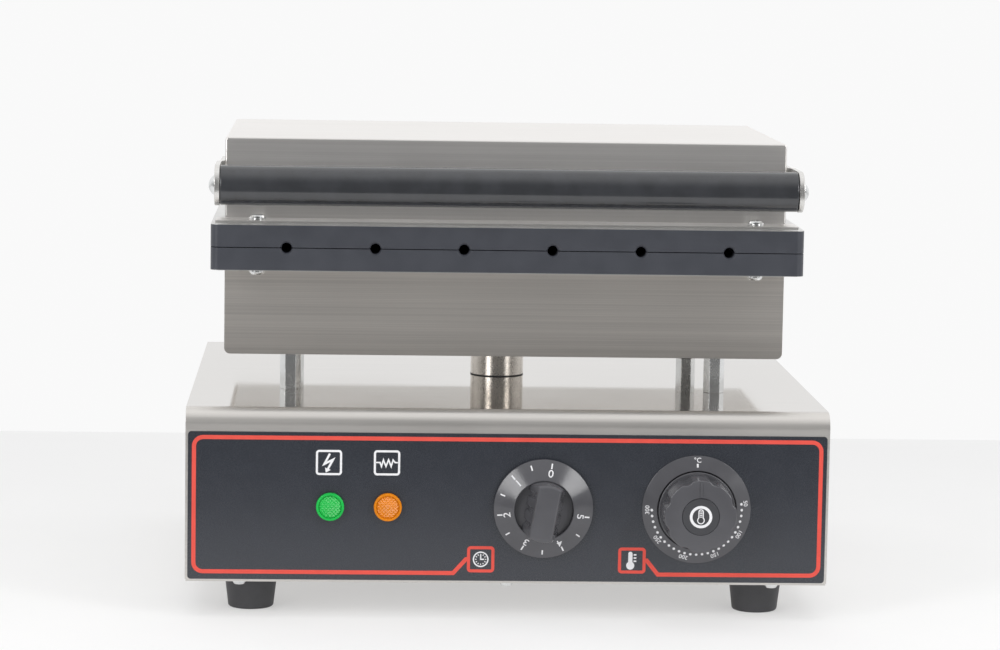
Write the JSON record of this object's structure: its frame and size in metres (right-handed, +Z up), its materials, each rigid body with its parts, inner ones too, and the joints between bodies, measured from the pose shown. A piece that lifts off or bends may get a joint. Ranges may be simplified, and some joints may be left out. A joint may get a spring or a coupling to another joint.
{
  "type": "corn dog maker",
  "caption": "Countertop corn dog maker: folded steel base with timer and thermostat, mould plates with stick holes, and a hinged lid with a bar handle.",
  "frame": {"origin": "on the table, under the middle of the base", "axes": "+Z up, +Y towards the hinge at the rear, +X to the right seen from the front"},
  "size_m": [0.375, 0.385, 0.2753],
  "materials": {
    "sheet_steel": "brushed stainless sheet",
    "polished_steel": "polished steel",
    "plated_steel": "bright zinc plating",
    "spring_steel": "blackened spring steel",
    "coated_casting": "dark non-stick coating on cast aluminium",
    "element_sheath": "heat-stained steel sheath",
    "copper_tube": "drawn copper",
    "mineral_fibre": "mineral fibre blanket",
    "rubber_black": "moulded rubber",
    "overlay_film": "printed film with a fine grain",
    "green_lens": "prismatic translucent plastic",
    "amber_lens": "prismatic translucent plastic",
    "white_plastic": "heat-resistant plastic",
    "control_case": "pressed metal case",
    "knob_plastic": "dark grey moulded plastic",
    "shaft_brass": "turned brass",
    "gland_plastic": "black nylon",
    "terminal_ceramic": "glazed ceramic",
    "grip_plastic": "black moulded resin, satin"
  },
  "bodies": {
    "base": {"base_shell": "sheet_steel", "left_side_panel": "sheet_steel", "right_side_panel": "sheet_steel", "bottom_plate": "sheet_steel", "lower_housing": "sheet_steel", "conduit_tube": "polished_steel", "lower_clamp_bars": "polished_steel", "bottom_screws": "plated_steel", "foot_screws": "plated_steel", "control_screws": "plated_steel", "terminal_screws": "plated_steel", "post_front_left": "plated_steel", "post_front_right": "plated_steel", "post_rear_left": "plated_steel", "post_rear_right": "plated_steel", "post_bolts": "plated_steel", "conduit_nuts": "plated_steel", "lower_plate_screws": "plated_steel", "lower_clamp_bolts": "plated_steel", "hinge_pin_left": "plated_steel", "hinge_pin_right": "plated_steel", "pin_clips": "spring_steel", "lower_plate": "coated_casting", "lower_element": "element_sheath", "thermostat_bulb": "copper_tube", "lower_insulation": "mineral_fibre", "foot_front_left": "rubber_black", "foot_front_right": "rubber_black", "foot_rear_left": "rubber_black", "foot_rear_right": "rubber_black", "control_overlay": "overlay_film", "green_lamp_lens": "green_lens", "amber_lamp_lens": "amber_lens", "green_lamp_body": "white_plastic", "amber_lamp_body": "white_plastic", "timer_unit": "control_case", "thermostat_unit": "control_case", "thermostat_bezel_ring": "knob_plastic", "mains_gland": "gland_plastic", "gland_locknut": "gland_plastic", "lower_lead_gland": "gland_plastic", "terminal_block": "terminal_ceramic"},
    "lid": {"lid_housing": "sheet_steel", "upper_plate": "coated_casting", "upper_plate_screws": "plated_steel", "upper_element": "element_sheath", "upper_clamp_bars": "polished_steel", "upper_clamp_bolts": "plated_steel", "upper_insulation": "mineral_fibre", "handle_arm_left": "sheet_steel", "handle_arm_right": "sheet_steel", "handle_grip": "grip_plastic", "handle_end_screws": "plated_steel", "arm_screws": "plated_steel", "lid_lead_gland": "gland_plastic"},
    "timer_dial": {"timer_knob": "knob_plastic", "timer_shaft": "shaft_brass"},
    "thermostat_dial": {"thermostat_knob": "knob_plastic", "thermostat_knob_cap": "knob_plastic", "thermostat_shaft": "shaft_brass"}
  },
  "joints": [
    {"name": "lid_hinge", "type": "hinge", "parent": "base", "child": "lid", "pos_m": [0, 0.134, 0.2126], "axis": [-1, 0, 0], "range_deg": [0, 105]},
    {"name": "timer_turn", "type": "hinge", "parent": "base", "child": "timer_dial", "pos_m": [0.0205, -0.1655, 0.0663], "axis": [0, 1, 0], "range_deg": [0, 270]},
    {"name": "thermostat_turn", "type": "hinge", "parent": "base", "child": "thermostat_dial", "pos_m": [0.11, -0.1655, 0.0663], "axis": [0, 1, 0], "range_deg": [0, 270]}
  ]
}
